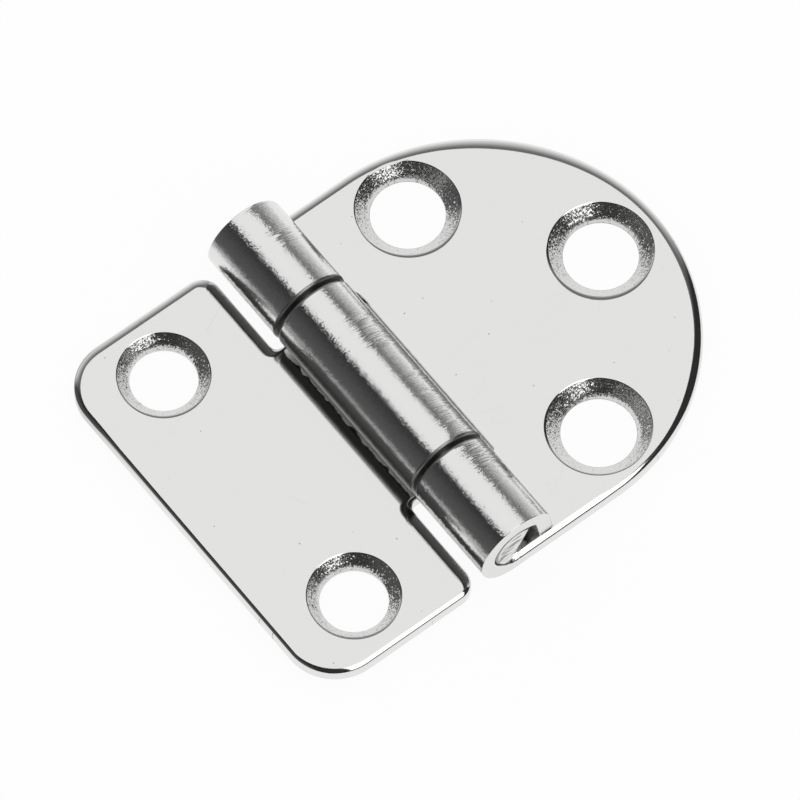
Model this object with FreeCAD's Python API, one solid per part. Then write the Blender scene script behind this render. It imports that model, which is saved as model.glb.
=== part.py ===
# Half-round leaf hinge, bent from polished stainless sheet and lying open flat.
# Row frame, millimetres: the pin lies along Y above the origin, the half-round leaf points
# to +X, the square leaf to -X, and the undersides of both leaves are at Z = 0.
import FreeCAD, Part
import math
import os

# Sheet and pin
sheet = 1.5
pin_radius = 2.45
pin_play = 0.05
hinge_length = 40.2
centre_knuckle_length = 19.6
knuckle_gap = 0.4

# Leaf outlines, measured from the pin's axis
round_reach = 31.45
square_reach = 21.7
leaf_clearance = 0.25
notch_clearance = 0.7
outer_corner_round = 5.0
inner_corner_round = 1.9
root_round = 0.8

# Screw holes: the webs are the sheet left between a mouth and the nearest edge of its leaf.
# Both pairs have the spacing that the half-round end leaves room for.
round_pair_x = 14.0
pair_web = 1.0
single_web = 1.4
square_end_web = 3.75
round_hole_radius = 3.45
round_mouth_radius = 4.85
square_hole_radius = 3.1
square_mouth_radius = 4.25
countersink_angle = 90.0
rim_chamfer = 0.15

# Polished edges
round_leaf_edge = 0.9
square_leaf_edge = 0.7
under_chamfer = 0.2
knuckle_end_round = 0.3
gap_chamfer = 0.2
polish_start = 0.8

# Rolled tips: the round leaf's leave the roll above the pin's level and run straight down to
# their own leaf, the square leaf's stops short of its leaf, still curling in
round_roll_end = 10.0
square_roll_end = -25.0
tip_gap = 0.06

# Pin ends, cropped with cutters
pin_end_chamfer = 0.4
crop_slope = 35.0
crop_ridge_angle = 62.0
crop_ridge_offset = 0.1

# Sizes that follow
bore_radius = pin_radius + pin_play
eye_radius = bore_radius + sheet
half_length = hinge_length / 2
centre_half = centre_knuckle_length / 2
outer_start = centre_half + knuckle_gap
leaf_start = eye_radius + leaf_clearance
notch_start = eye_radius + notch_clearance
round_centre_x = round_reach - half_length
pair_from_centre = half_length - round_mouth_radius - pair_web
pair_spacing = 2 * math.sqrt(pair_from_centre**2 - (round_pair_x - round_centre_x) ** 2)
round_single_x = round_reach - round_mouth_radius - single_web
square_pair_x = square_reach - square_mouth_radius - square_end_web
tip_start_height = eye_radius + bore_radius * math.sin(math.radians(round_roll_end))
round_tip_run = (tip_start_height - sheet - tip_gap) / math.cos(math.radians(round_roll_end))
through = 5 * sheet


def point(x, y, z=0.0):
    return FreeCAD.Vector(x, y, z)


def line(start, end):
    return Part.LineSegment(start, end).toShape()


def arc(start, centre, radius, middle_angle, end):
    """Arc in the XY plane through the point of its circle at middle_angle degrees."""
    turn = math.radians(middle_angle)
    middle = centre + point(radius * math.cos(turn), radius * math.sin(turn))
    return Part.Arc(start, middle, end).toShape()


def plate(edges):
    """Flat blank of the sheet's thickness, standing on Z = 0."""
    face = Part.Face(Part.Wire(edges))
    return face.extrude(point(0, 0, sheet))


def round_blank():
    """Half-round leaf from under the pin outwards, with the notch for the centre knuckle."""
    notch_x = notch_start
    notch_y = outer_start
    bend_x = notch_x - root_round
    bend_y = notch_y - root_round
    side = half_length
    edges = [
        line(point(polish_start, -side), point(round_centre_x, -side)),
        arc(point(round_centre_x, -side), point(round_centre_x, 0), side, 0, point(round_centre_x, side)),
        line(point(round_centre_x, side), point(polish_start, side)),
        line(point(polish_start, side), point(polish_start, notch_y)),
        line(point(polish_start, notch_y), point(bend_x, notch_y)),
        arc(point(bend_x, notch_y), point(bend_x, bend_y), root_round, 45, point(notch_x, bend_y)),
        line(point(notch_x, bend_y), point(notch_x, -bend_y)),
        arc(point(notch_x, -bend_y), point(bend_x, -bend_y), root_round, -45, point(bend_x, -notch_y)),
        line(point(bend_x, -notch_y), point(polish_start, -notch_y)),
        line(point(polish_start, -notch_y), point(polish_start, -side)),
    ]
    return plate(edges)


def square_blank():
    """Square leaf with rounded corners and the neck that runs on into the centre knuckle."""
    inner = -leaf_start
    outer = -square_reach
    neck = centre_half
    side = half_length
    upper = []
    corner = point(outer + outer_corner_round, side - outer_corner_round)
    shoulder = point(inner - inner_corner_round, side - inner_corner_round)
    root = point(inner + root_round, neck + root_round)
    upper.append(line(point(outer, 0), point(outer, corner.y)))
    upper.append(arc(point(outer, corner.y), corner, outer_corner_round, 135, point(corner.x, side)))
    upper.append(line(point(corner.x, side), point(shoulder.x, side)))
    upper.append(arc(point(shoulder.x, side), shoulder, inner_corner_round, 45, point(inner, shoulder.y)))
    upper.append(line(point(inner, shoulder.y), point(inner, root.y)))
    upper.append(arc(point(inner, root.y), root, root_round, 225, point(root.x, neck)))
    upper.append(line(point(root.x, neck), point(-polish_start, neck)))
    upper.append(line(point(-polish_start, neck), point(-polish_start, 0)))
    half = plate([*upper, line(point(-polish_start, 0), point(outer, 0))])
    other_half = half.mirror(point(0, 0), point(0, 1))
    return half.fuse(other_half).removeSplitter()


def countersink(x, y, hole_radius, mouth_radius):
    """Cutter for a countersunk hole that opens upwards."""
    cone_depth = (mouth_radius - hole_radius) / math.tan(math.radians(countersink_angle / 2))
    land = sheet - cone_depth
    profile = [
        point(0, 0, -through),
        point(hole_radius, 0, -through),
        point(hole_radius, 0, land),
        point(mouth_radius, 0, sheet),
        point(mouth_radius, 0, through),
        point(0, 0, through),
        point(0, 0, -through),
    ]
    face = Part.Face(Part.makePolygon(profile))
    cutter = face.revolve(point(0, 0, 0), point(0, 0, 1), 360)
    cutter.translate(point(x, y))
    return cutter


def is_rim(edge, mouth_radius):
    """True for the upper edge of a countersink."""
    return isinstance(edge.Curve, Part.Circle) and abs(edge.Curve.Radius - mouth_radius) < 1e-6


def at_bend(edge):
    """True for the edge where the flat sheet runs on under the pin."""
    box = edge.BoundBox
    return abs(abs(box.XMin) - polish_start) < 1e-6 and box.XLength < 1e-6


def level_face(shape, height):
    """Widest of the flat faces that lie level at a height."""
    level = []
    for face in shape.Faces:
        box = face.BoundBox
        if isinstance(face.Surface, Part.Plane) and box.ZLength < 1e-6 and abs(box.ZMin - height) < 1e-6:
            level.append(face)
    return max(level, key=lambda face: face.Area)


def polish(blank, mouth_radius, edge_round):
    """Rounds the outline above, breaks it below and breaks the rims of the countersinks."""
    rims = [edge for edge in blank.Edges if is_rim(edge, mouth_radius)]
    shape = blank.makeChamfer(rim_chamfer, rims)
    top_edges = [edge for edge in level_face(shape, sheet).OuterWire.Edges if not at_bend(edge)]
    shape = shape.makeFillet(edge_round, top_edges)
    under_edges = [edge for edge in level_face(shape, 0).OuterWire.Edges if not at_bend(edge)]
    return shape.makeChamfer(under_chamfer, under_edges)


def knuckle(side, roll_end, tip_run, start_y, end_y):
    """Rolled eye between two Y positions, for a leaf that points to side * X.

    The sheet runs in along Z = 0, round the far side of the pin and over it. The roll ends
    roll_end degrees above the pin's level, over its own leaf, and tip_run of straight sheet
    follows where there is any.
    """
    lean = math.radians(roll_end)
    axis = point(0, start_y, eye_radius)

    def on_roll(radius, angle):
        return axis + point(side * radius * math.cos(angle), 0, radius * math.sin(angle))

    down = point(side * math.sin(lean), 0, -math.cos(lean))
    outward = point(side * math.cos(lean), 0, math.sin(lean))
    inner_leave = on_roll(bore_radius, lean)
    outer_leave = on_roll(eye_radius, lean)
    inner_tip = inner_leave + down * tip_run
    outer_tip = inner_tip + outward * sheet
    tip = [line(outer_tip, inner_tip)]
    if tip_run > 0:
        tip = [line(outer_leave, outer_tip), *tip, line(inner_tip, inner_leave)]
    foot = side * polish_start
    far = math.radians(180)
    over = math.radians(90)
    edges = [
        line(point(foot, start_y, 0), point(0, start_y, 0)),
        Part.Arc(point(0, start_y, 0), on_roll(eye_radius, far), on_roll(eye_radius, over)).toShape(),
        Part.Arc(on_roll(eye_radius, over), on_roll(eye_radius, (over + lean) / 2), outer_leave).toShape(),
        *tip,
        Part.Arc(inner_leave, on_roll(bore_radius, (over + lean) / 2), on_roll(bore_radius, over)).toShape(),
        Part.Arc(on_roll(bore_radius, over), on_roll(bore_radius, far), point(0, start_y, sheet)).toShape(),
        line(point(0, start_y, sheet), point(foot, start_y, sheet)),
        line(point(foot, start_y, sheet), point(foot, start_y, 0)),
    ]
    roll = Part.Face(Part.Wire(edges)).extrude(point(0, end_y - start_y, 0))
    for end in (start_y, end_y):
        if abs(end) > half_length - knuckle_gap:
            roll = roll.makeFillet(knuckle_end_round, end_edges(roll, end))
        else:
            roll = roll.makeChamfer(gap_chamfer, end_edges(roll, end))
    return roll


def end_edges(roll, end):
    """Outer edges of one end of a roll: round its back and over its top."""
    found = []
    for edge in roll.Edges:
        box = edge.BoundBox
        at_end = box.YLength < 1e-6 and abs(box.YMin - end) < 1e-6
        middle = edge.valueAt((edge.FirstParameter + edge.LastParameter) / 2)
        from_axis = math.hypot(middle.x, middle.z - eye_radius)
        curved = isinstance(edge.Curve, Part.Circle)
        outside = curved and abs(from_axis - eye_radius) < 1e-6
        if at_end and outside:
            found.append(edge)
    return found


def join(pieces):
    """One clean solid of touching or overlapping pieces of the same sheet."""
    whole = pieces[0].multiFuse(pieces[1:]).removeSplitter()
    return whole.Solids[0] if len(whole.Solids) == 1 else whole


def round_leaf():
    """Half-round leaf with three countersunk holes and the two outer knuckles."""
    blank = round_blank()
    holes = [(round_pair_x, pair_spacing / 2), (round_pair_x, -pair_spacing / 2), (round_single_x, 0)]
    for x, y in holes:
        blank = blank.cut(countersink(x, y, round_hole_radius, round_mouth_radius))
    leaf = polish(blank, round_mouth_radius, round_leaf_edge)
    front = knuckle(1, round_roll_end, round_tip_run, -half_length, -outer_start)
    back = knuckle(1, round_roll_end, round_tip_run, outer_start, half_length)
    return join([leaf, front, back])


def square_leaf():
    """Square leaf with two countersunk holes and the centre knuckle."""
    blank = square_blank()
    for y in (pair_spacing / 2, -pair_spacing / 2):
        blank = blank.cut(countersink(-square_pair_x, y, square_hole_radius, square_mouth_radius))
    leaf = polish(blank, square_mouth_radius, square_leaf_edge)
    centre = knuckle(-1, square_roll_end, 0, -centre_half, centre_half)
    return join([leaf, centre])


def crop_cutter(end):
    """Wedge that takes one side off a pin end; end is -1 in front and 1 behind."""
    size = 4 * pin_radius
    slope = math.radians(crop_slope)
    depth = size * math.tan(slope)
    corners = [point(0, 0), point(size, 0), point(size, -end * depth), point(0, 0)]
    wedge = Part.Face(Part.makePolygon(corners)).extrude(point(0, 0, size))
    wedge.translate(point(crop_ridge_offset, end * half_length, -size / 2))
    wedge.rotate(point(0, 0, 0), point(0, 1, 0), 90 - crop_ridge_angle)
    wedge.translate(point(0, 0, eye_radius))
    return wedge


def pin():
    """Pin through all three knuckles, its ends flush and cropped on one side."""
    body = Part.makeCylinder(pin_radius, hinge_length, point(0, -half_length, eye_radius), point(0, 1, 0))
    rims = [edge for edge in body.Edges if isinstance(edge.Curve, Part.Circle)]
    body = body.makeChamfer(pin_end_chamfer, rims)
    for end in (-1, 1):
        body = body.cut(crop_cutter(end))
    return body


def main():
    os.makedirs("parts", exist_ok=True)
    pieces = {"round_leaf": round_leaf(), "square_leaf": square_leaf(), "pin": pin()}
    for name, shape in pieces.items():
        shape.exportStep(os.path.join("parts", name + ".step"))
        box = shape.optimalBoundingBox()
        print(name, "solids", len(shape.Solids), "valid", shape.isValid(), "volume", round(shape.Volume, 2))
        print("  from", [round(v, 3) for v in (box.XMin, box.YMin, box.ZMin)])
        print("  to", [round(v, 3) for v in (box.XMax, box.YMax, box.ZMax)])


main()
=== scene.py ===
# %% [markdown]
# # A mirror-polished half-round leaf hinge
# The hinge comes from the CAD frame in metres: +X points along the half-round leaf, +Y along
# the pin and +Z up. This script dresses it. Polished steel has almost no colour of its own, so
# its look is made by two things: the exact shape of every rounded edge, and what stands round
# the hinge to be mirrored. The cells below make those two things in turn.
# %% Load the frame
import math

import bmesh
import bpy
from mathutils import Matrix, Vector
from mathutils.geometry import tessellate_polygon


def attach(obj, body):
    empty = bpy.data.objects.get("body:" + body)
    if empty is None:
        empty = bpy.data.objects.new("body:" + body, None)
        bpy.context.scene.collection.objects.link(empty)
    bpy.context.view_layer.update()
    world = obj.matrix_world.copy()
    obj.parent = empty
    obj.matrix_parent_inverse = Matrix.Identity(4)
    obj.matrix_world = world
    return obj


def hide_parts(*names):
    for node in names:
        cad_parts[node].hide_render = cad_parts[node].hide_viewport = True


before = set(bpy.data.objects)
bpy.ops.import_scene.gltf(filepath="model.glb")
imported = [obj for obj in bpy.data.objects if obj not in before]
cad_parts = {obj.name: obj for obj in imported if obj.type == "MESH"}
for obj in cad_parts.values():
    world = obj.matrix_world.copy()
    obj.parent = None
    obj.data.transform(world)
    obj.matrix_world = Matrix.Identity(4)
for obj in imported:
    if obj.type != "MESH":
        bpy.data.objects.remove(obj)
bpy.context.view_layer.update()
MM = 0.001

# %% [markdown]
# # Colours and shader nodes
# Shaders work in linear light, and colours are easier to read as hex, so one function turns the
# one into the other. A second one adds a shader node together with its settings and its links,
# which keeps each material below to a few lines that read from top to bottom.
# %% Colours
def colour(hex_code):
    """The linear values that shaders work in, from an sRGB hex code."""
    parts = [int(hex_code[i:i + 2], 16) / 255 for i in (1, 3, 5)]
    return [c / 12.92 if c <= 0.04045 else ((c + 0.055) / 1.055) ** 2.4 for c in parts] + [1.0]


print("polished steel in linear light", [round(c, 3) for c in colour("#E4E4E3")])

# %% Nodes
def add(tree, kind, settings=None, **links):
    """Adds a node; links go to inputs by name, or by number as i0, i1 and so on.

    The setting "stops" gives a colour ramp its grey levels as pairs of place and level.
    """
    node = tree.nodes.new(kind)
    settings = dict(settings or {})
    stops = settings.pop("stops", [])
    for key, value in settings.items():
        setattr(node, key, value)
    for _ in stops[2:]:  # a new ramp has two elements
        node.color_ramp.elements.new(0.5)
    for k, (stop_place, level) in enumerate(stops):
        node.color_ramp.elements[k].position = stop_place
        node.color_ramp.elements[k].color = (level, level, level, 1)
    for key, value in links.items():
        numbered = key[0] == "i" and key[1:].isdigit()
        socket = node.inputs[int(key[1:]) if numbered else key.replace("_", " ")]
        if isinstance(value, bpy.types.NodeSocket):
            tree.links.new(value, socket)
        else:
            socket.default_value = value
    return node


def new_material(name):
    """A material with nothing in it yet, and its node tree."""
    material = bpy.data.materials.new(name)
    material.use_nodes = True
    material.node_tree.nodes.clear()
    return material, material.node_tree


print("nodes come from", add.__name__, "and materials from", new_material.__name__)

# %% [markdown]
# # The camera
# The photograph was taken from about 63 degrees up with a long lens, which shows in how little
# the far edge of the hinge shrinks. The same view is set here from its target, distance and two
# angles rather than from a typed matrix, so that each number can be understood and changed.
# %% Camera
camera_target = Vector((1.4966, -1.0334, 1.5)) * MM
camera_distance = 1237.7 * MM
camera_elevation = math.radians(62.624)
camera_azimuth = math.radians(-37.694)
camera_lens = 621.1

camera_direction = Vector((
    math.sin(camera_azimuth) * math.cos(camera_elevation),
    -math.cos(camera_azimuth) * math.cos(camera_elevation),
    math.sin(camera_elevation),
))
camera = bpy.data.objects.new("camera", bpy.data.cameras.new("camera"))
camera.data.lens = camera_lens
camera.location = camera_target + camera_direction * camera_distance
camera.rotation_euler = camera_direction.to_track_quat("Z", "Y").to_euler()
bpy.context.scene.collection.objects.link(camera)
bpy.context.scene.camera = camera
bpy.context.scene.view_settings.view_transform = "Standard"
print("camera at", [round(v, 4) for v in camera.location])

# %% [markdown]
# # The floor
# The hinge lies on plain white paper. A white that comes only from lamps would need more light
# than the steel can take, so the floor glows for the camera and for mirrored rays and is matt
# paint for all others. A small share of paint stays in view, and keeps the hinge's soft shadow.
# For mirrored rays the paper darkens towards the left, where the room was dim. The floor lies a
# hair under the hinge and is clear from below, so that the undersides can be looked at.
# %% A flat mesh for the studio
def quad(name, corners, material):
    """A mesh of one face with four corners, which is part of the studio and not of the hinge."""
    mesh = bpy.data.meshes.new(name)
    work = bmesh.new()
    work.faces.new([work.verts.new(c) for c in corners])
    work.to_mesh(mesh)
    work.free()
    mesh.materials.append(material)
    obj = bpy.data.objects.new(name, mesh)
    bpy.context.scene.collection.objects.link(obj)
    return obj


print("studio pieces come from", quad.__name__)

# %% Floor paint
room_azimuth = 155
fade_rate = 10
glow_share = 0.93
floor_paint, tree = new_material("matt_white_floor")
leftwards = (math.cos(math.radians(room_azimuth)) * fade_rate,
             math.sin(math.radians(room_azimuth)) * fade_rate, 0)
spot = add(tree, "ShaderNodeTexCoord").outputs["Object"]
left_of_hinge = add(tree, "ShaderNodeVectorMath", {"operation": "DOT_PRODUCT"},
                    i0=spot, i1=leftwards)
paper_levels = [(0.0, 1.0), (0.23, 1.0), (0.32, 0.45), (0.5, 0.36), (0.8, 0.08)]
lit = add(tree, "ShaderNodeValToRGB", {"stops": paper_levels}, Fac=left_of_hinge.outputs["Value"])
rays = add(tree, "ShaderNodeLightPath")
paper_white = add(tree, "ShaderNodeMix", {"data_type": "RGBA"},
                  Factor=rays.outputs["Is Glossy Ray"], i6=(1, 1, 1, 1), i7=lit.outputs[0])
seen = add(tree, "ShaderNodeMath", {"operation": "MAXIMUM"},
           i0=rays.outputs["Is Camera Ray"], i1=rays.outputs["Is Glossy Ray"])
share = add(tree, "ShaderNodeMath", {"operation": "MULTIPLY"}, i0=seen.outputs[0], i1=glow_share)
paint = add(tree, "ShaderNodeBsdfDiffuse", Color=colour("#EDEDED"))
white = add(tree, "ShaderNodeEmission", Color=paper_white.outputs[2], Strength=1.0)
mixed = add(tree, "ShaderNodeMixShader",
            i0=share.outputs[0], i1=paint.outputs[0], i2=white.outputs[0])
from_below = add(tree, "ShaderNodeNewGeometry").outputs["Backfacing"]
nothing = add(tree, "ShaderNodeBsdfTransparent")
one_sided = add(tree, "ShaderNodeMixShader",
                i0=from_below, i1=mixed.outputs[0], i2=nothing.outputs[0])
add(tree, "ShaderNodeOutputMaterial", Surface=one_sided.outputs[0])
print("the floor glows by", glow_share, "and is paint by", round(1 - glow_share, 2))

# %% Floor
reach, clearance = 3.0, 0.02 * MM
floor_corners = [(-reach, -reach, -clearance), (reach, -reach, -clearance),
                 (reach, reach, -clearance), (-reach, reach, -clearance)]
floor = quad("floor", floor_corners, floor_paint)
print("floor", 2 * reach, "m wide, and", clearance / MM, "mm under the hinge")

# %% [markdown]
# # What the steel mirrors near the horizon
# Bands on the rolled knuckles show what stood round the hinge. Behind it, to the right, the
# paper sweeps up and fades with height. To the left is a dim room, and the rest is darker still.
# All three are painted on the world by direction, for mirrored rays only: everything else meets
# an even white, which lights the scene softly. Lamps could not give such long fades so simply.
# %% Directions round the hinge
world = bpy.data.worlds.new("dim_studio")
bpy.context.scene.world = world
world.use_nodes = True
tree = world.node_tree
tree.nodes.clear()
outward = add(tree, "ShaderNodeTexCoord").outputs["Generated"]
height = add(tree, "ShaderNodeSeparateXYZ", Vector=outward).outputs["Z"]
flat_way = add(tree, "ShaderNodeVectorMath", {"operation": "MULTIPLY"}, i0=outward, i1=(1, 1, 0))
level_way = add(tree, "ShaderNodeVectorMath", {"operation": "NORMALIZE"}, i0=flat_way.outputs[0])


def part_of_room(azimuth, start, end):
    """1 towards an azimuth in degrees and 0 away from it, fading between two cosines."""
    way = (math.cos(math.radians(azimuth)), math.sin(math.radians(azimuth)), 0)
    towards = add(tree, "ShaderNodeVectorMath", {"operation": "DOT_PRODUCT"},
                  i0=level_way.outputs[0], i1=way)
    return add(tree, "ShaderNodeMapRange", {"interpolation_type": "SMOOTHSTEP"},
               i0=towards.outputs["Value"], i1=start, i2=end).outputs[0]


paper_azimuth = 62
print("paper sweep towards", paper_azimuth, "degrees, dim room towards", room_azimuth)

# %% World
paper_fade = [(0.0, 0.8), (0.1, 0.76), (0.21, 0.66), (0.31, 0.54),
              (0.42, 0.41), (0.57, 0.2), (0.72, 0.15)]
room_fade = [(0.0, 0.1), (0.35, 0.08), (0.6, 0.05), (0.78, 0.018)]
dark_glow = (0.027, 0.027, 0.027, 1)
paper_glow = add(tree, "ShaderNodeValToRGB", {"stops": paper_fade}, Fac=height)
room_glow = add(tree, "ShaderNodeValToRGB", {"stops": room_fade}, Fac=height)
dim = add(tree, "ShaderNodeMix", {"data_type": "RGBA"},
          Factor=part_of_room(room_azimuth, 0.6, 0.9), i6=dark_glow, i7=room_glow.outputs[0])
mirrored = add(tree, "ShaderNodeMix", {"data_type": "RGBA"},
               Factor=part_of_room(paper_azimuth, 0.55, 0.78),
               i6=dim.outputs[2], i7=paper_glow.outputs[0])
rays = add(tree, "ShaderNodeLightPath")
shown = add(tree, "ShaderNodeMix", {"data_type": "RGBA"},
            Factor=rays.outputs["Is Glossy Ray"], i6=(1, 1, 1, 1), i7=mirrored.outputs[2])
glow = add(tree, "ShaderNodeBackground", Color=shown.outputs[2], Strength=1.0)
add(tree, "ShaderNodeOutputWorld", Surface=glow.outputs[0])
print("world", world.name, "with", len(tree.nodes), "nodes")

# %% [markdown]
# # Two light panels
# The flat leaves mirror a pale ceiling straight behind the camera's line, and every edge that
# leans to the front catches one strong window. Both are meshes that glow and that only mirrored
# rays can see. The window is a patch of a sphere, so its sides are plain angles, and those
# angles say which slopes of an edge shine white. Its sill rises to the right, so the white line
# on the front of the arc ends where it does in the photograph.
# %% Glowing panels
def glowing(name, strength):
    """A material that only gives white light."""
    material, tree = new_material(name)
    glow = add(tree, "ShaderNodeEmission", Color=(1, 1, 1, 1), Strength=strength)
    add(tree, "ShaderNodeOutputMaterial", Surface=glow.outputs[0])
    return material


def direction(azimuth, elevation):
    """The unit vector towards two angles in degrees."""
    a, e = math.radians(azimuth), math.radians(elevation)
    return Vector((math.cos(a) * math.cos(e), math.sin(a) * math.cos(e), math.sin(e)))


def only_mirrored(panel):
    """Hides a panel from everything but mirrored rays, so it adds no light and no shadow."""
    panel.visible_camera = panel.visible_diffuse = panel.visible_shadow = False


panel_distance = 0.6
print("panels stand", panel_distance, "m from the hinge")

# %% Ceiling
away, across = direction(52.3, 0), direction(-37.7, 0)
overhead = Vector((0, 0, panel_distance))
ceiling_corners = [
    away * u + across * w + overhead
    for u, w in ((-0.06, -0.37), (0.56, -0.37), (0.56, 0.25), (-0.06, 0.25))
]
ceiling = quad("ceiling_panel", ceiling_corners, glowing("ceiling_glow", 0.975))
only_mirrored(ceiling)
print("ceiling", [[round(c, 2) for c in corner] for corner in ceiling_corners])

# %% Window
window_low, window_high = 25, 82
window_left, window_right = -104, -20
sill_start, sill_rise = -66, 1.2
steps = 12
work = bmesh.new()
rows = []
for k in range(steps + 1):
    elevation = window_low + (window_high - window_low) * k / steps
    end = min(elevation - 90, window_right)
    azimuths = [window_left + (end - window_left) * j / steps for j in range(steps + 1)]
    sills = [window_low + max(0, a - sill_start) * sill_rise for a in azimuths]
    rows.append([
        work.verts.new(direction(a, max(elevation, sill)) * panel_distance)
        for a, sill in zip(azimuths, sills)
    ])
for row, next_row in zip(rows, rows[1:]):
    for pane in zip(row, row[1:], next_row[1:], next_row):
        work.faces.new(pane)
window_mesh = bpy.data.meshes.new("window_panel")
work.to_mesh(window_mesh)
work.free()
window_mesh.materials.append(glowing("window_glow", 1.8))
window = bpy.data.objects.new("window_panel", window_mesh)
bpy.context.scene.collection.objects.link(window)
only_mirrored(window)
print("window from", window_low, "to", window_high, "degrees up")

# %% [markdown]
# # The steel
# Sheet and pin are stainless steel of the common 18/8 kind. Its colour is a neutral light grey,
# and a metal keeps the default index of refraction. What differs from place to place is how
# the surface was worked, so each finish tips the surface's direction with noise at the real
# size of its marks, in millimetres. Bump would do the same, but its strength depends on the
# distance of the camera, and tipping the normal itself is exact.
# %% Marks in the surface
def per_metre(size_mm):
    """The scale of a pattern whose parts have this size in mm."""
    return 1000 / size_mm


def marks(tree, place, grain, detail=2.0):
    """Noise about zero in three channels; grain is the size of a mark in mm along x, y and z."""
    scaled = add(tree, "ShaderNodeVectorMath", {"operation": "MULTIPLY"},
                 i0=place, i1=[per_metre(size) for size in grain])
    noise = add(tree, "ShaderNodeTexNoise", Vector=scaled.outputs[0], Scale=1.0, Detail=detail)
    return add(tree, "ShaderNodeVectorMath", {"operation": "SUBTRACT"},
               i0=noise.outputs["Color"], i1=(0.5, 0.5, 0.5)).outputs[0]


def tipped(tree, normal, noise, amount):
    """The normal, leaned over by noise times an amount, which is a number or another value."""
    lean = add(tree, "ShaderNodeVectorMath", {"operation": "SCALE"}, i0=noise, Scale=amount)
    leaned = add(tree, "ShaderNodeVectorMath", {"operation": "ADD"}, i0=normal, i1=lean.outputs[0])
    return add(tree, "ShaderNodeVectorMath", {"operation": "NORMALIZE"},
               i0=leaned.outputs[0]).outputs[0]


most_lean = math.degrees(math.atan(0.1 * 0.5))
print("marks of amount 0.1 lean the normal by up to", round(most_lean, 1), "degrees")

# %% A finish of the steel
steel_colour = colour("#E4E4E3")


def steel(name, roughness, layers, shade=steel_colour):
    """A finish whose layers are (grain, amount, detail) of the marks that lie on each other."""
    material, tree = new_material(name)
    place = add(tree, "ShaderNodeTexCoord").outputs["Object"]
    normal = add(tree, "ShaderNodeNewGeometry").outputs["Normal"]
    for grain, amount, detail in layers:
        normal = tipped(tree, normal, marks(tree, place, grain, detail), amount)
    surface = add(tree, "ShaderNodeBsdfPrincipled",
                  Base_Color=shade, Metallic=1.0, Roughness=roughness, Normal=normal)
    add(tree, "ShaderNodeOutputMaterial", Surface=surface.outputs[0])
    print(name, "roughness", roughness)
    return material, tree, surface, place, normal


print("steel colour", [round(c, 3) for c in steel_colour])

# %% [markdown]
# # Mirror-polished sheet
# The leaves were buffed to a mirror, and give the eye one even pale grey that follows the
# ceiling. Near at hand a few pinholes and hairline scratches break it. Cells of a Voronoi
# pattern scatter the pinholes, one in a few cells, and the borders of stretched cells make the
# hairlines. The cells of the pinholes are flat, because cells in depth would mostly have their
# middle above or below the sheet. Real pits are finer than a pixel, so they are drawn up to
# 0.16 mm across.
# %% Mirror polish and its pinholes
polished, tree, surface, place, normal = steel(
    "mirror_polished_stainless", 0.09, [((2.5, 2.5, 2.5), 0.006, 2.0)])
pit_spacing, pit_radius = 2.4, 0.08
share_without_pits = 0.78
cells = add(tree, "ShaderNodeTexVoronoi", {"voronoi_dimensions": "2D"},
            Vector=place, Scale=per_metre(pit_spacing))
kept = add(tree, "ShaderNodeSeparateXYZ", Vector=cells.outputs["Color"]).outputs["X"]
size = add(tree, "ShaderNodeMapRange",
           i0=kept, i1=share_without_pits, i2=1.0, i3=0.01, i4=pit_radius / pit_spacing)
pit = add(tree, "ShaderNodeMath", {"operation": "LESS_THAN"},
          i0=cells.outputs["Distance"], i1=size.outputs[0])
print("a pit every few cells of", pit_spacing, "mm")

# %% Hairlines
hairline_way = math.radians(28)
hairline_cell = (14, 2.2, 14)
hairline_patch = 6
turned = add(tree, "ShaderNodeMapping", i0=place, Rotation=(0, 0, hairline_way),
             Scale=[per_metre(size) for size in hairline_cell])
borders = add(tree, "ShaderNodeTexVoronoi", {"feature": "DISTANCE_TO_EDGE"},
              Vector=turned.outputs[0], Scale=1.0)
hairline = add(tree, "ShaderNodeMapRange",
               i0=borders.outputs["Distance"], i1=0.0, i2=0.008, i3=1.0, i4=0.0)
here = add(tree, "ShaderNodeTexNoise", Vector=place, Scale=per_metre(hairline_patch), Detail=1.0)
faded = add(tree, "ShaderNodeMapRange", i0=here.outputs[0], i1=0.56, i2=0.68, i3=0.0, i4=0.05)
scratch = add(tree, "ShaderNodeMath", {"operation": "MULTIPLY"},
              i0=hairline.outputs[0], i1=faded.outputs[0])
dulled = add(tree, "ShaderNodeMath", {"operation": "MULTIPLY_ADD"},
             i0=pit.outputs[0], i1=0.5, i2=scratch.outputs[0])
tint = add(tree, "ShaderNodeMix", {"data_type": "RGBA"},
           Factor=dulled.outputs[0], i6=steel_colour, i7=colour("#3A3A38"))
tree.links.new(tint.outputs[2], surface.inputs["Base Color"])
print("hairlines border cells of", hairline_cell, "mm")

# %% [markdown]
# # Belt-polished roll
# Rolling stretches the skin of the sheet and leaves it slightly rough, like fine orange peel,
# and the eye was then run against a belt. The mirrored bands keep their shape, but their borders
# turn soft and grainy. In patches the belt's strokes run round the eye and comb the borders out
# into hairs, most on the side away from the square leaf, which the belt reached best. The strokes
# are noise that is long round the pin and fine along it. Real strokes are a few hundredths of a
# millimetre wide, and are drawn at 0.1 mm so that they show.
# %% Belt polish
rolled, tree, surface, place, normal = steel(
    "belt_polished_roll", 0.15, [((0.12, 0.12, 0.12), 0.33, 1.0)])
stroke, belt_patch = (3.0, 0.1, 3.0), (50 / 3, 10 / 3, 50 / 3)
patches = add(tree, "ShaderNodeVectorMath", {"operation": "MULTIPLY"},
              i0=place, i1=[per_metre(size) for size in belt_patch])
patch = add(tree, "ShaderNodeTexNoise", Vector=patches.outputs[0], Scale=1.0, Detail=1.0)
reached = add(tree, "ShaderNodeSeparateXYZ", Vector=place).outputs["X"]
belted = add(tree, "ShaderNodeMapRange", i0=reached, i1=-1 * MM, i2=1 * MM, i3=0.1, i4=0.6)
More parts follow.
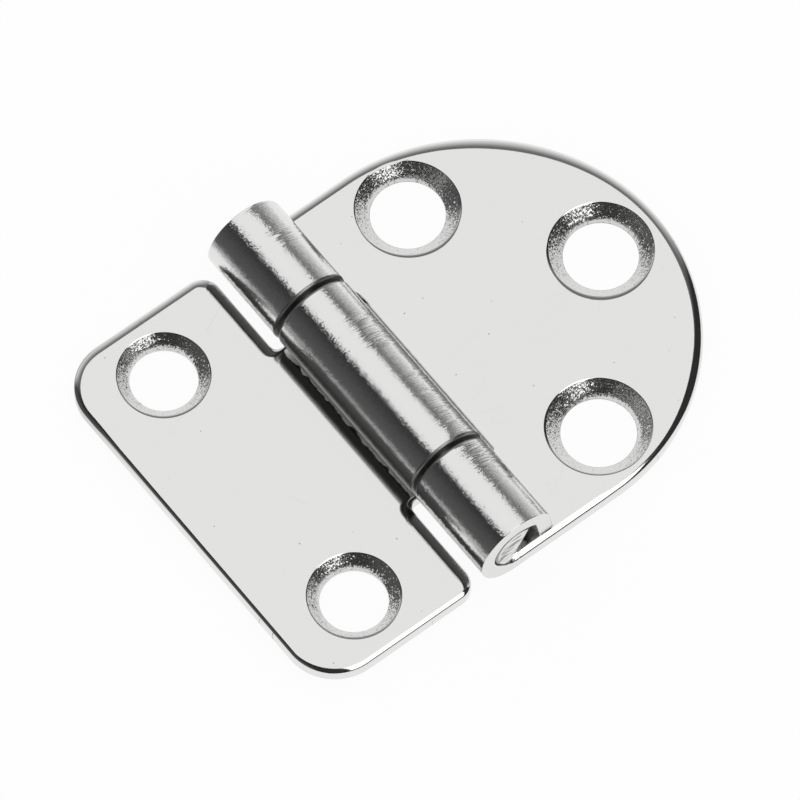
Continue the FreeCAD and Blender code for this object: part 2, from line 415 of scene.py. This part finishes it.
combed = add(tree, "ShaderNodeMapRange",
             i0=patch.outputs[0], i1=0.5, i2=0.64, i3=0.02, i4=belted.outputs[0])
normal = tipped(tree, normal, marks(tree, place, stroke, 1.0), combed.outputs[0])
tree.links.new(normal, surface.inputs["Normal"])
print("strokes", stroke[0], "mm long round the eye and", stroke[1], "mm apart")

# %% [markdown]
# # Machined countersinks
# A countersink's cutter chatters, and its cone glitters: dark steel with bright dashes where a
# small facet meets the window. In torn spots the facets lean much further than in the smooth
# ones between them, so one noise sets how far the other tips the normal. Real chatter is finer
# than 0.1 mm, and is drawn at 0.16 mm so that single dashes show.
# %% Countersinks
countersunk, tree, surface, place, normal = steel(
    "machined_countersink", 0.2, [((0.3, 0.3, 0.3), 0.12, 2.0)], colour("#D6D6D5"))
smooth_lean, torn_lean = 0.3, 1.4
torn_spot, chatter_grain = 0.22, (0.16, 0.16, 0.16)
torn_spots = add(tree, "ShaderNodeTexNoise", Vector=place, Scale=per_metre(torn_spot), Detail=2.0)
leaning = add(tree, "ShaderNodeMapRange",
              i0=torn_spots.outputs[0], i1=0.45, i2=0.62, i3=smooth_lean, i4=torn_lean)
chatter = tipped(tree, normal, marks(tree, place, chatter_grain, 1.0), leaning.outputs[0])
tree.links.new(chatter, surface.inputs["Normal"])
print("facets lean by", smooth_lean, "where the cone is smooth and", torn_lean, "where it is torn")

# %% [markdown]
# # Cut faces
# The ends of the rolled sheet were brushed over and stay bright. The sheared sides between the
# knuckles are rough, and their dark grey is painted shade in the gaps between the knuckles and
# round the pin's rim. The bore was never polished: it keeps the dull mill finish, so it scatters a
# little light and stays dark grey in the shade beside the pin.
# %% Sheet ends, sheared edges and bore
faced = steel("brushed_sheet_end", 0.16, [((0.3, 0.3, 0.3), 0.06, 2.0)], colour("#E0E0DF"))[0]
# The sheared grey is painted shade for the gaps between the knuckles and round the pin's rim.
sheared = steel("sheared_edge_and_gap_shade", 0.35, [((0.25, 0.25, 0.25), 0.4, 3.0)], colour("#9A9A98"))[0]
inside, tree, surface, place, normal = steel(
    "mill_finish_bore", 0.5, [((0.2, 0.2, 0.2), 0.9, 3.0)], colour("#B4B4B0"))
bore_mirrors = 0.75
surface.inputs["Metallic"].default_value = bore_mirrors
print("the bore mirrors by", bore_mirrors, "and scatters the rest")

# %% [markdown]
# # Pin finishes
# The pin is drawn wire, with fine lines along its sides, and its darker grey is also painted shade
# where the pin shows in the gaps between the knuckles. The cutter's blades dragged over its end
# face and left it pale with dark scuffs along the cut, about 0.3 mm wide. The sloping facet broke
# off in the last moment, so it is torn and dull.
# %% Wire and its cropped end
cut_slope = math.radians(62)
scuff = (1.6, 1.0, 0.28)
cropped, tree, surface, place, normal = steel(
    "cropped_wire_end", 0.3, [((0.4, 0.4, 0.4), 0.2, 3.0)])
along_the_cut = add(tree, "ShaderNodeMapping", i0=place, Rotation=(0, cut_slope, 0),
                    Scale=[per_metre(size) for size in scuff])
scuffs = add(tree, "ShaderNodeTexNoise", Vector=along_the_cut.outputs[0], Scale=1.0, Detail=3.0)
scuffed = add(tree, "ShaderNodeMapRange", i0=scuffs.outputs[0], i1=0.5, i2=0.6, i3=0.0, i4=0.85)
pale = add(tree, "ShaderNodeMix", {"data_type": "RGBA"},
           Factor=scuffed.outputs[0], i6=colour("#E2E2E0"), i7=colour("#5A5A58"))
tree.links.new(pale.outputs[2], surface.inputs["Base Color"])
facet, tree, surface, place, normal = steel(
    "cropped_wire_facet", 0.5, [((0.3, 0.3, 0.3), 0.9, 3.0)], colour("#C4C4C0"))
facet_mirrors = 0.85
surface.inputs["Metallic"].default_value = facet_mirrors
# The drawn wire's darker grey is partly painted shade, for where the pin shows in the gaps.
drawn_and_gap_shade = steel("drawn_wire_and_gap_shade", 0.2, [((1.0, 0.2, 1.0), 0.12, 2.0)], colour("#C8C8C6"))[0]
print("scuffs", scuff[0], "mm long and", scuff[2], "mm wide")

# %% [markdown]
# # The rolled tip of the square leaf
# The centre eye doesn't close: its tip stops short of the leaf. The last stretch of the roll was
# out of the belt's reach and stays unpolished, and its dark grey is painted shade in the crease
# between the roll and the leaf. The end itself shows the ragged line where the strip was sheared.
# Above the line the tip is painted pale as lit steel, and below it dark as steel in shade. Cutting
# such a line into the mesh would take thousands of faces, so the material draws it from the height
# and from noise along the pin.
# %% Sheared tip
tip_low, tip_high = 2.31, 2.57
tear_length = 1.6
# The dark grey of the roll's last stretch is painted shade under the roll; its roughness is the
# unpolished steel.
unpolished = steel("unpolished_underside_painted_shade", 0.3, [((0.3, 0.3, 0.3), 0.2, 3.0)], colour("#767674"))[0]
torn_tip_painted_light_and_shade, tree, surface, place, normal = steel("sheared_tip_painted_light_and_shade", 0.4, [((0.15, 0.15, 0.15), 0.4, 3.0)])
tip_height = add(tree, "ShaderNodeSeparateXYZ", Vector=place).outputs["Z"]
up_the_tip = add(tree, "ShaderNodeMapRange", i0=tip_height, i1=tip_low * MM, i2=tip_high * MM)
along = add(tree, "ShaderNodeVectorMath", {"operation": "MULTIPLY"},
            i0=place, i1=(0, per_metre(tear_length), 0))
ragged = add(tree, "ShaderNodeTexNoise", Vector=along.outputs[0], Scale=1.0, Detail=5.0)
line = add(tree, "ShaderNodeMapRange", i0=ragged.outputs[0], i1=0.3, i2=0.72, i3=-0.15, i4=1.0)
in_painted_shade = add(tree, "ShaderNodeMath", {"operation": "LESS_THAN"},
            i0=up_the_tip.outputs[0], i1=line.outputs[0])
# Pale above the ragged line is painted light, and dark below it is painted shade.
shade = add(tree, "ShaderNodeMix", {"data_type": "RGBA"},
            Factor=in_painted_shade.outputs[0], i6=colour("#F4F4F2"), i7=colour("#3E3E3C"))
tree.links.new(shade.outputs[2], surface.inputs["Base Color"])
print("tip from", tip_low, "to", tip_high, "mm up")

# %% Finishes by name
finishes = {
    "polished": polished, "rolled": rolled, "countersunk": countersunk, "faced": faced,
    "sheared": sheared, "unpolished": unpolished, "torn_tip_painted_light_and_shade": torn_tip_painted_light_and_shade, "cropped": cropped,
    "facet": facet, "inside": inside, "drawn_and_gap_shade": drawn_and_gap_shade,
}
print(len(finishes), "finishes of one steel")

# %% [markdown]
# # The sheet and its sizes
# Each leaf is bent from its own blank of 1.5 mm sheet. The sizes here are the CAD's, written
# again in millimetres, because this file can't read the CAD source.
# %% Sizes of the hinge
sheet = 1.5
pin_radius = 2.45
bore_radius = 2.5
eye_radius = bore_radius + sheet
half_length = 20.1
centre_half = 9.8
outer_start = 10.2
foot = 0.8
leaf_start = 4.25
notch_start = 4.7
root_round = 0.8
round_reach = 31.45
round_centre = round_reach - half_length
square_reach = 21.7
outer_corner = 5.0
inner_corner = 1.9
hole_y = 14.0
print("open width", round_reach + square_reach, "mm, length", 2 * half_length, "mm")

# %% [markdown]
# # A skin that keeps its own normals
# A mirror shows every facet, so the leaves aren't left to automatic smoothing. Each vertex is
# made with the exact direction that the real surface faces there, and the mesh keeps it as a
# custom normal. Faces are turned to agree with those normals, so each face looks outwards.
# Places that come twice are welded, so the skin closes without a merge step.
# %% The skin
class Skin:
    """A piece of the hinge while it is being made: places, normals, faces and their finishes."""

    def __init__(self):
        self.places, self.normals, self.faces, self.finishes, self.known = [], [], [], [], {}

    def vertex(self, place, normal, group=0):
        """Index of the vertex at a place in mm; another group keeps its own normal there."""
        key = (group, *(round(c, 4) for c in place))
        if key not in self.known:
            self.known[key] = len(self.places)
            self.places.append(Vector(place) * MM)
            self.normals.append(Vector(normal).normalized())
        return self.known[key]

    def face(self, corners, finish):
        """One face; corners that were welded to each other count once."""
        corners = list(dict.fromkeys(corners))
        if len(corners) > 2:
            self.faces.append(corners)
            self.finishes.append(finish)

    def strip(self, row, next_row, finish):
        """Four-cornered faces between two rows of vertices."""
        for a, b, c, d in zip(row, row[1:], next_row[1:], next_row):
            self.face([a, b, c, d], finish)

    def fill(self, loops, finish):
        """Fills a flat face between an outer loop and the loops of its holes."""
        corners = [v for loop in loops for v in loop]
        outlines = [[self.places[v] for v in loop] for loop in loops]
        for triangle in tessellate_polygon(outlines):
            self.face([corners[k] for k in triangle], finish)

    def build(self, name):
        """Makes the object, with its materials and its custom normals."""
        used = [finish for finish in finishes if finish in self.finishes]
        mesh = bpy.data.meshes.new(name)
        mesh.from_pydata(self.places, [], self.faces)
        for finish in used:
            mesh.materials.append(finishes[finish])
        for polygon, finish in zip(mesh.polygons, self.finishes):
            polygon.material_index = used.index(finish)
            polygon.use_smooth = True
            facing = sum((self.normals[v] for v in polygon.vertices), Vector())
            if polygon.normal.dot(facing) < 0:
                polygon.flip()
        mesh.normals_split_custom_set_from_vertices(self.normals)
        piece = bpy.data.objects.new(name, mesh)
        bpy.context.scene.collection.objects.link(piece)
        print(name, len(mesh.vertices), "vertices,", len(mesh.polygons), "faces, finishes", used)
        return piece


print("a new skin has", len(Skin().places), "vertices")

# %% [markdown]
# # Polished edges
# A buffing wheel leans over the edge of the sheet and leaves a shallow crown, which ends in a
# tight corner above the plain wall. How wide the crown is and how steep it gets differ round
# each leaf, and the photograph shows both: a steep crown ends in a bright wall, a shallow one
# stays dark right up to the outline. The same rows of points serve the ends of the knuckles.
# %% The edge in section
crown_steps, corner_steps, under_steps = 8, 4, 5
wall_row = crown_steps + corner_steps


def arc_rows(radius, start, end, steps):
    """Across and down along a round corner, with the angle that its normal leans out by."""
    angles = [math.radians(start + (end - start) * k / steps) for k in range(steps + 1)]
    return [(radius * math.sin(a), radius * (1 - math.cos(a)), a) for a in angles]


def edge_rows(width, slope, corner, under):
    """Rows from the upper flat to the lower one: inset, height, and the normal's out and up."""
    lean = math.radians(slope)
    crown = (width - corner * (1 - math.sin(lean))) / math.sin(lean)
    drop = (crown - corner) * (1 - math.cos(lean))
    rows = [
        (width - across, sheet - down, math.sin(a), math.cos(a))
        for across, down, a in arc_rows(crown, 0, slope, crown_steps)
    ]
    rows += [
        (corner - across, sheet - drop - down, math.sin(a), math.cos(a))
        for across, down, a in arc_rows(corner, slope, 90, corner_steps)[1:]
    ]
    rows += [
        (under - across, down, math.sin(a), -math.cos(a))
        for across, down, a in arc_rows(under, 90, 0, under_steps)
    ]
    return rows


print("an edge has", len(edge_rows(1.0, 45, 0.2, 0.2)), "rows, with the wall after row", wall_row)

# %% Named edges: width of the crown in mm, its slope in degrees, radius of the corner in mm
under_edge = 0.2
front_edge = (0.83, 40, 0.5)
arc_front_edge = (0.61, 42, 0.5)
arc_side_edge = (1.0, 56, 0.35)
back_edge = (1.14, 42, 0.15)
far_edge = (1.6, 38, 0.15)
notch_edge = (1.13, 42, 0.15)
crisp_edge = (0.55, 80, 0.15)
square_front_edge = (0.58, 40, 0.4)
corner_edge = (0.75, 48, 0.15)
inner_edge = (1.6, 14, 0.35)
neck_edge = (0.5, 60, 0.15)
bore_edge = (0.16, 80, 0.15)
for row in edge_rows(*front_edge, under_edge)[::4]:
    print("front edge", [round(v, 3) for v in row])

# %% [markdown]
# # Outlines
# An outline is walked with the sheet on its left hand. Each stop has its place, the direction
# out of the sheet, and the edge that the buffing wheel left there. Between two named edges the
# numbers blend smoothly, as the wheel's pressure did.
# %% Walking an outline
def between(pair, t):
    """Blend of two edges, from the first at t = 0 to the second at t = 1."""
    t = t * t * (3 - 2 * t)
    return tuple(a + (b - a) * t for a, b in zip(*pair))


def straight(start, end, edges, stops=12):
    """Stops along a straight side, from one edge to another."""
    (x0, y0), (x1, y1) = start, end
    length = math.hypot(x1 - x0, y1 - y0)
    out = ((y1 - y0) / length, (x0 - x1) / length)
    return [
        (x0 + (x1 - x0) * t, y0 + (y1 - y0) * t, *out, between(edges, t))
        for t in (k / stops for k in range(stops + 1))
    ]


def bend(centre, radius, start, end, edges, step=2.0):
    """Arc between two angles in degrees; one that runs backwards is an inside corner."""
    stops = max(4, round(abs(end - start) / step))
    hand = 1 if end > start else -1
    walked = []
    for k in range(stops + 1):
        t = k / stops
        angle = math.radians(start + (end - start) * t)
        x, y = math.cos(angle), math.sin(angle)
        place = (centre[0] + radius * x, centre[1] + radius * y)
        walked.append((*place, hand * x, hand * y, between(edges, t)))
    return walked


print("half an edge", [round(v, 3) for v in between((front_edge, arc_front_edge), 0.5)])

# %% Skinning an edge
def edge_skin(skin, walked, finish):
    """Skins the edge along a walk and returns its upper and lower rows."""
    rows = []
    for x, y, out_x, out_y, edge in walked:
        section = edge_rows(*edge, under_edge)
        rows.append([
            skin.vertex((x - out_x * inset, y - out_y * inset, height),
                        (out_x * out, out_y * out, up))
            for inset, height, out, up in section
        ])
    for row, next_row in zip(rows, rows[1:]):
        skin.strip(row, next_row, finish)
    return [row[0] for row in rows], [row[-1] for row in rows]


print("edges are skinned with", edge_skin.__name__)

# %% [markdown]
# # Countersunk holes
# A 90 degree cutter leaves a cone that runs nearly through the sheet, with a narrow upright
# land under it. Buffing then rounds the rim, and dishes it on the side that the wheel ran off,
# where a soft dark crescent shows. The rim is two arcs: a wide one that leaves the flat gently,
# and a tight one into the cone. On the far side the wheel also rubbed the lip of the cone
# steeper. That is so thin that only the normals tell it, and the shape stays the cutter's cone.
# Each hole is a lathe profile turned about its own centre, with a rim that grows to one side.
# %% The rim of a hole
rim_round = 0.22
tight_rim = 0.42
shallow_lean = 18
cone_lean = math.pi / 4
rim_steps = 4


def rim_at(angle, dish, towards):
    """Radius of the rounded rim at an angle, up to dish on the side that it faces."""
    return rim_round + (dish - rim_round) * max(0.0, math.cos(math.radians(angle - towards)))


def rim_profile(mouth_radius, rim):
    """The two arcs of the rim, from the flat to the cone."""
    tight = min(rim, tight_rim)
    shallow = math.radians(shallow_lean)
    drop = rim * (1 - math.cos(shallow)) + tight * (math.cos(shallow) - math.cos(cone_lean))
    run = rim * math.sin(shallow) + tight * (math.sin(cone_lean) - math.sin(shallow))
    start = mouth_radius + run - drop
    profile = []
    for k in range(rim_steps + 1):
        t = shallow * k / rim_steps
        place = (start - rim * math.sin(t), sheet - rim * (1 - math.cos(t)))
        profile.append((*place, -math.sin(t), math.cos(t), "polished"))
    for k in range(1, rim_steps + 1):
        t = shallow + (cone_lean - shallow) * k / rim_steps
        place = (start - rim * math.sin(shallow) - tight * (math.sin(t) - math.sin(shallow)),
                 sheet - rim * (1 - math.cos(shallow)) - tight * (math.cos(shallow) - math.cos(t)))
        profile.append((*place, -math.sin(t), math.cos(t), "polished"))
    return profile


print("rim at the dished side", round(rim_at(240, 1.2, 240), 2), "mm")

# %% The profile of a hole
rubbed_lip = ((0.48, 0), (0.32, 8), (0.16, 20), (0.05, 27))
land_round = 0.12
foot_round = 0.1


def hole_profile(hole_radius, mouth_radius, rim, rubbed):
    """Radius, height, the normal's out and up, and the finish, from the rim down."""
    land = sheet - (mouth_radius - hole_radius)
    side_share = math.tan(cone_lean / 2)  # how much of each side a round takes, for its radius
    profile = rim_profile(mouth_radius, rim)
    for height, extra_lean in rubbed_lip:
        t = math.radians(45 + extra_lean * rubbed)
        place = (hole_radius + height, land + height)
        profile.append((*place, -math.sin(t), math.cos(t), "countersunk"))
    for k in range(1, rim_steps + 1):
        t = math.radians(45 + 45 * k / rim_steps)
        place = (hole_radius + land_round * (1 - math.sin(t)),
                 land + land_round * (math.cos(t) - side_share))
        profile.append((*place, -math.sin(t), math.cos(t), "countersunk"))
    for k in range(4):
        t = math.radians(90 - 30 * k)
        place = (hole_radius + foot_round * (1 - math.sin(t)), foot_round * (1 - math.cos(t)))
        profile.append((*place, -math.sin(t), -math.cos(t), "countersunk"))
    return profile


print("a hole's profile has", len(hole_profile(3.45, 4.85, rim_round, 0)), "points")

# %% Turning a hole
def hole_skin(skin, x, y, hole_radius, mouth_radius, dish, towards, stops=120):
    """Skins a hole and returns its loops in the upper and lower flats."""
    columns = []
    for k in range(stops):
        angle = 360 * k / stops
        c, s = math.cos(math.radians(angle)), math.sin(math.radians(angle))
        rubbed = max(0.0, -math.cos(math.radians(angle - towards)))
        profile = hole_profile(hole_radius, mouth_radius, rim_at(angle, dish, towards), rubbed)
        columns.append([
            (skin.vertex((x + radius * c, y + radius * s, height), (out * c, out * s, up)), finish)
            for radius, height, out, up, finish in profile
        ])
    for column, next_column in zip(columns, columns[1:] + columns[:1]):
        for k in range(len(column) - 1):
            corners = (column[k], column[k + 1], next_column[k + 1], next_column[k])
            skin.face([v for v, finish in corners], column[k + 1][1])
    return [column[0][0] for column in columns], [column[-1][0] for column in columns]


print("holes are turned with", hole_skin.__name__)

# %% [markdown]
# # Rolled knuckles
# The sheet runs in under the pin, round the far side and over the top. The knuckle is that
# path with the sheet's section swept along it. At the leaf the section has the leaf's own wide
# edge on top; on the roll that side faces the pin and is narrow, and the outside is buffed. At
# the open ends the tip is drawn back a little, because the leaf's buffed edge runs on past it.
# %% The path of the roll
foot_stops, degrees_per_stop = 4, 2.5


def roll_path(side, roll_end, tip_run):
    """Stops on the outside of the roll: place, direction out of it, and how far round it is."""
    stops = [((side * foot * (1 - k / foot_stops), 0), (0, -1), 0) for k in range(foot_stops)]
    last = 270 - roll_end
    turns = round(last / degrees_per_stop)
    for k in range(turns + 1):
        angle = math.radians(last * k / turns)
        out = (-side * math.sin(angle), -math.cos(angle))
        place = (eye_radius * out[0], eye_radius + eye_radius * out[1])
        stops.append((place, out, math.degrees(angle)))
    if tip_run > 0:
        (x, z), out, angle = stops[-1]
        down = (-side * math.cos(math.radians(angle)), math.sin(math.radians(angle)))
        stops += [
            ((x + down[0] * tip_run * t, z + down[1] * tip_run * t), out, angle)
            for t in (0.25, 0.5, 0.75, 1.0)
        ]
    return stops


print("stops on the centre roll", len(roll_path(-1, -25, 0)))

# %% The sheet's section on the roll
curl_end = 40
pull_start = 0.72


def roll_station(skin, stop, share, ends):
    """The vertices across one stop of a knuckle, with a row for each of its ends."""
    (x, z), (out_x, out_z), angle = stop
    curled = min(1, angle / curl_end)
    drawn_back = max(0, (share - pull_start) / (1 - pull_start))
    station = []
    for y, way, leaf_edge, roll_round, pull, finish in ends:
        low_edge = under_edge + (roll_round - under_edge) * curled
        section = edge_rows(*between((leaf_edge, bore_edge), curled), low_edge)
        end_y = y - way * pull * drawn_back ** 2
        station.append([
            skin.vertex(
                (x - out_x * height, end_y - way * inset, z - out_z * height),
                (-out_x * up, way * out, -out_z * up),
            )
            for inset, height, out, up in section
        ])
    return station


print("the leaf's edge has become the roll's", curl_end, "degrees round the pin")

# %% The cut end of the roll
rolled_over = 0.48


def cap_tip(skin, side, stop, station, finish):
    """Closes the sheet's cut end, whose normal leans out where the shear rolled its edge over."""
    out, angle = stop[1], math.radians(stop[2])
    ahead = Vector((-side * math.cos(angle), 0, math.sin(angle)))
    facing = ahead.lerp(Vector((out[0], 0, out[1])), rolled_over)
    front, back = station
    rim = [skin.vertex(skin.places[v] / MM, facing, "tip") for v in front + back[::-1]]
    skin.fill([rim], finish)


print("the tip's normal leans out by", rolled_over)

# %% The skin of the roll
def roll_skin(skin, side, roll_end, tip_run, ends, tip_start=360):
    """Skins a knuckle; an end is (y, way out, edge at the leaf, roll's rounding, pull, finish)."""
    path = roll_path(side, roll_end, tip_run)
    stations = [roll_station(skin, stop, k / len(path), ends) for k, stop in enumerate(path)]
    for stop, station, next_station in zip(path, stations, stations[1:]):
        bore_finish = "inside" if stop[2] > curl_end else "polished"
        # From tip_start on, the outside is painted dark grey as shade in the crease under the roll.
        outside = "unpolished" if stop[2] >= tip_start else "rolled"
        for row, next_row, end in zip(station, next_station, ends):
            finish = end[5]
            low_finish = "sheared" if finish == "sheared" else outside
            skin.strip(row[:wall_row + 1], next_row[:wall_row + 1], "rolled")
            skin.strip(row[wall_row:wall_row + 2], next_row[wall_row:wall_row + 2], finish)
            skin.strip(row[wall_row + 1:], next_row[wall_row + 1:], low_finish)
        (front, back), (next_front, next_back) = station, next_station
        skin.face([front[0], next_front[0], next_back[0], back[0]], bore_finish)
        skin.face([front[-1], next_front[-1], next_back[-1], back[-1]], outside)
    cap_tip(skin, side, path[-1], stations[-1], "torn_tip_painted_light_and_shade" if tip_run == 0 else "sheared")


print("knuckles are skinned with", roll_skin.__name__)

# %% [markdown]
# # The half-round leaf
# This leaf is one skin with its two outer knuckles: edge, flats, three holes and rolls, all
# welded. Its flats are filled between the edge's inner rows and the rims of the holes. The edge
# is narrow in front, where the window lights it, and wide on the far side of the arc.
# %% Outline of the half-round leaf
round_skin = Skin()
arc_centre = (round_centre, 0)
arc_lead = round_centre - 2
outline = (
    straight((foot, -half_length), (arc_lead, -half_length), (front_edge, front_edge))
    + straight((arc_lead, -half_length), (round_centre, -half_length),
               (front_edge, arc_front_edge))[1:]
    + bend(arc_centre, half_length, -90, -76, (arc_front_edge, arc_front_edge))[1:]
    + bend(arc_centre, half_length, -76, -45, (arc_front_edge, arc_side_edge))[1:]
    + bend(arc_centre, half_length, -45, 0, (arc_side_edge, back_edge))[1:]
    + bend(arc_centre, half_length, 0, 45, (back_edge, far_edge))[1:]
    + bend(arc_centre, half_length, 45, 90, (far_edge, back_edge))[1:]
    + straight((round_centre, half_length), (foot, half_length), (back_edge, back_edge))[1:]
)
outer_top, outer_under = edge_skin(round_skin, outline, "polished")
print("outline of", len(outline), "stops")

# %% Notch of the half-round leaf
notch_bend = notch_start - root_round
notch_side = outer_start - root_round
notch = (
    straight((foot, outer_start), (notch_bend, outer_start), (neck_edge, neck_edge))
    + bend((notch_bend, notch_side), root_round, 90, 0, (neck_edge, notch_edge), 10)[1:]
    + straight((notch_start, notch_side), (notch_start, -notch_side), (notch_edge, notch_edge))[1:]
    + bend((notch_bend, -notch_side), root_round, 0, -90, (notch_edge, neck_edge), 10)[1:]
    + straight((notch_bend, -outer_start), (foot, -outer_start), (neck_edge, neck_edge))[1:]
)
notch_top, notch_under = edge_skin(round_skin, notch, "polished")
print("notch of", len(notch), "stops")

# %% Holes and flats of the half-round leaf
round_hole, round_mouth = 3.45, 4.85
round_places = ((14.0, hole_y, 1.5, 258), (14.0, -hole_y, 0.75, 200), (25.2, 0, 2.0, 226))
round_holes = [
    hole_skin(round_skin, x, y, round_hole, round_mouth, dish, towards)
    for x, y, dish, towards in round_places
]
round_skin.fill([outer_top + notch_top, *(top for top, under in round_holes)], "polished")
round_skin.fill([outer_under + notch_under, *(under for top, under in round_holes)], "polished")
print("flat between", len(outer_top) + len(notch_top), "edge stops")

# %% Outer knuckles
outer_roll_end = 10
tip_gap = 0.06
tip_lean = math.radians(outer_roll_end)
tip_run = (eye_radius + bore_radius * math.sin(tip_lean) - sheet - tip_gap) / math.cos(tip_lean)
end_round, gap_round, tip_pull = 0.06, 0.3, 0.6
front_end = (-half_length, -1, front_edge, end_round, tip_pull, "faced")
# The gap ends take the sheared grey, which is painted shade in the gaps between the knuckles.
front_gap_end = (-outer_start, 1, neck_edge, gap_round, 0, "sheared")
back_gap_end = (outer_start, -1, neck_edge, gap_round, 0, "sheared")
back_end = (half_length, 1, back_edge, end_round, tip_pull, "faced")
roll_skin(round_skin, 1, outer_roll_end, tip_run, [front_end, front_gap_end])
roll_skin(round_skin, 1, outer_roll_end, tip_run, [back_gap_end, back_end])
round_piece = round_skin.build("half_round_leaf")
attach(round_piece, "round_side")
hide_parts("round_leaf")

# %% [markdown]
# # The square leaf
# The second leaf is made in the same way, with rounded corners, two holes and one knuckle in
# the middle. Along the pin its edge is a long shallow crown that mirrors only the dark room.
# %% Outline of the square leaf
square_skin = Skin()
neck_x, neck_y = leaf_start - root_round, centre_half + root_round
shoulder_x, shoulder_y = leaf_start + inner_corner, half_length - inner_corner
corner_x, corner_y = square_reach - outer_corner, half_length - outer_corner
edge_blend = 5
blend_end = corner_y - edge_blend
outline = (
    straight((-foot, centre_half), (-neck_x, centre_half), (neck_edge, neck_edge))
    + bend((-neck_x, neck_y), root_round, 270, 180, (neck_edge, inner_edge), 10)[1:]
    + straight((-leaf_start, neck_y), (-leaf_start, shoulder_y), (inner_edge, inner_edge))[1:]
    + bend((-shoulder_x, shoulder_y), inner_corner, 0, 90, (inner_edge, back_edge), 5)[1:]
    + straight((-shoulder_x, half_length), (-corner_x, half_length), (back_edge, back_edge))[1:]
    + bend((-corner_x, corner_y), outer_corner, 90, 180, (back_edge, corner_edge))[1:]
    + straight((-square_reach, corner_y), (-square_reach, blend_end), (corner_edge, crisp_edge))[1:]
    + straight((-square_reach, blend_end), (-square_reach, -corner_y), (crisp_edge, crisp_edge))[1:]
    + bend((-corner_x, -corner_y), outer_corner, 180, 270, (crisp_edge, square_front_edge))[1:]
    + straight((-corner_x, -half_length), (-shoulder_x, -half_length),
               (square_front_edge, square_front_edge))[1:]
    + bend((-shoulder_x, -shoulder_y), inner_corner, 270, 360,
           (square_front_edge, inner_edge), 5)[1:]
    + straight((-leaf_start, -shoulder_y), (-leaf_start, -neck_y), (inner_edge, inner_edge))[1:]
    + bend((-neck_x, -neck_y), root_round, 180, 90, (inner_edge, neck_edge), 10)[1:]
    + straight((-neck_x, -centre_half), (-foot, -centre_half), (neck_edge, neck_edge))[1:]
)
square_top, square_under = edge_skin(square_skin, outline, "polished")
print("outline of", len(outline), "stops")

# %% Holes and flats of the square leaf
square_hole, square_mouth, square_hole_x = 3.1, 4.25, -13.7
square_holes = [
    hole_skin(square_skin, square_hole_x, y, square_hole, square_mouth, dish, towards)
    for y, dish, towards in ((hole_y, 1.15, 245), (-hole_y, 1.0, 255))
]
square_skin.fill([square_top, *(top for top, under in square_holes)], "polished")
square_skin.fill([square_under, *(under for top, under in square_holes)], "polished")
print("flat between", len(square_top), "edge stops")

# %% Centre knuckle
centre_roll_end = -25
# Degrees round the roll where the painted shade under it begins.
painted_shade_from = 262
# The centre knuckle's ends take the sheared grey, which is painted shade in the gaps beside the
# outer knuckles.
centre_ends = [
    (-centre_half, -1, neck_edge, gap_round, 0, "sheared"),
    (centre_half, 1, neck_edge, gap_round, 0, "sheared"),
]
roll_skin(square_skin, -1, centre_roll_end, 0, centre_ends, tip_start=painted_shade_from)
square_piece = square_skin.build("square_leaf_sheet")
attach(square_piece, "square_side")
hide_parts("square_leaf")

# %% [markdown]
# # The pin
# The pin is a length of drawn wire, cropped flush with the knuckles. The cutters took one side off
# each end, so the end is a flat face and a sloping facet with a straight ridge between them. The
# rim is rounded, which leaves a dark crescent between the pin and the eye, and the rim is also
# painted grey as shade in that crescent. Both faces are made as rows about the pin, so the ridge
# stays sharp while the rim stays smooth.
# %% The crop
least_rim, rim_growth = 0.1, 0.32
pressed_side = math.radians(215)


def pin_rim(turn):
    """Rounding of the pin's rim, widest at the lower left, where the cutter pressed."""
    return least_rim + rim_growth * max(0.0, math.cos(turn - pressed_side))


crop_tilt = math.tan(math.radians(35))
crop_turn = math.radians(-28)
ridge_offset = 0.1
crop_way = Vector((math.cos(crop_turn), 0, math.sin(crop_turn)))
ridge = math.acos(ridge_offset / (pin_radius - pin_rim(0)))
sides = {"crop": (-ridge, ridge), "face": (ridge, 2 * math.pi - ridge)}
print("the ridge starts", round(math.degrees(ridge)), "degrees from the middle of the crop")

# %% One side of a pin end
def end_rows(skin, way, name, steps=6, stops=40):
    """Rows of vertices from a cropped face, over its rounded rim, to the barrel of the pin."""
    start, end = sides[name]
    facing = Vector((0, way, 0)) + crop_way * crop_tilt * (name == "crop")
    facing.normalize()
    rows = []
    for k in range(steps + 1):
        lean = math.radians(90) * k / steps
        row = []
        for j in range(stops + 1):
            turn = crop_turn + start + (end - start) * j / stops
            rim = pin_rim(turn)
            radius = pin_radius - rim * (1 - math.sin(lean))
            radial = Vector((math.cos(turn), 0, math.sin(turn)))
            cut_back = max(0, radius * math.cos(turn - crop_turn) - ridge_offset) * crop_tilt
            place = radial * radius
            place.y = way * (half_length - rim * (1 - math.cos(lean)) - cut_back)
            place.z += eye_radius
            normal = radial * math.sin(lean) + facing * math.cos(lean)
            row.append(skin.vertex(place, normal, name if k < steps else "barrel"))
        rows.append(row)
    return rows


print("the ends are cut at y", -half_length, "and", half_length, "mm")

# %% Pin
pin_skin = Skin()
barrel = {}
for way in (-1, 1):
    for name in sides:
        rows = end_rows(pin_skin, way, name)
        # Past the first row the rim takes the sheared grey, which is painted shade in the crescent
        # between the pin and the eye.
        for k, (row, next_row) in enumerate(zip(rows, rows[1:])):
            pin_skin.strip(row, next_row, "cropped" if k < 1 else "sheared")
        pin_skin.fill([rows[0]], "cropped" if name == "face" else "facet")
        barrel[way, name] = rows[-1]
for name in sides:
    pin_skin.strip(barrel[-1, name], barrel[1, name], "drawn_and_gap_shade")
pin_piece = pin_skin.build("cropped_pin")
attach(pin_piece, "round_side")
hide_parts("pin")
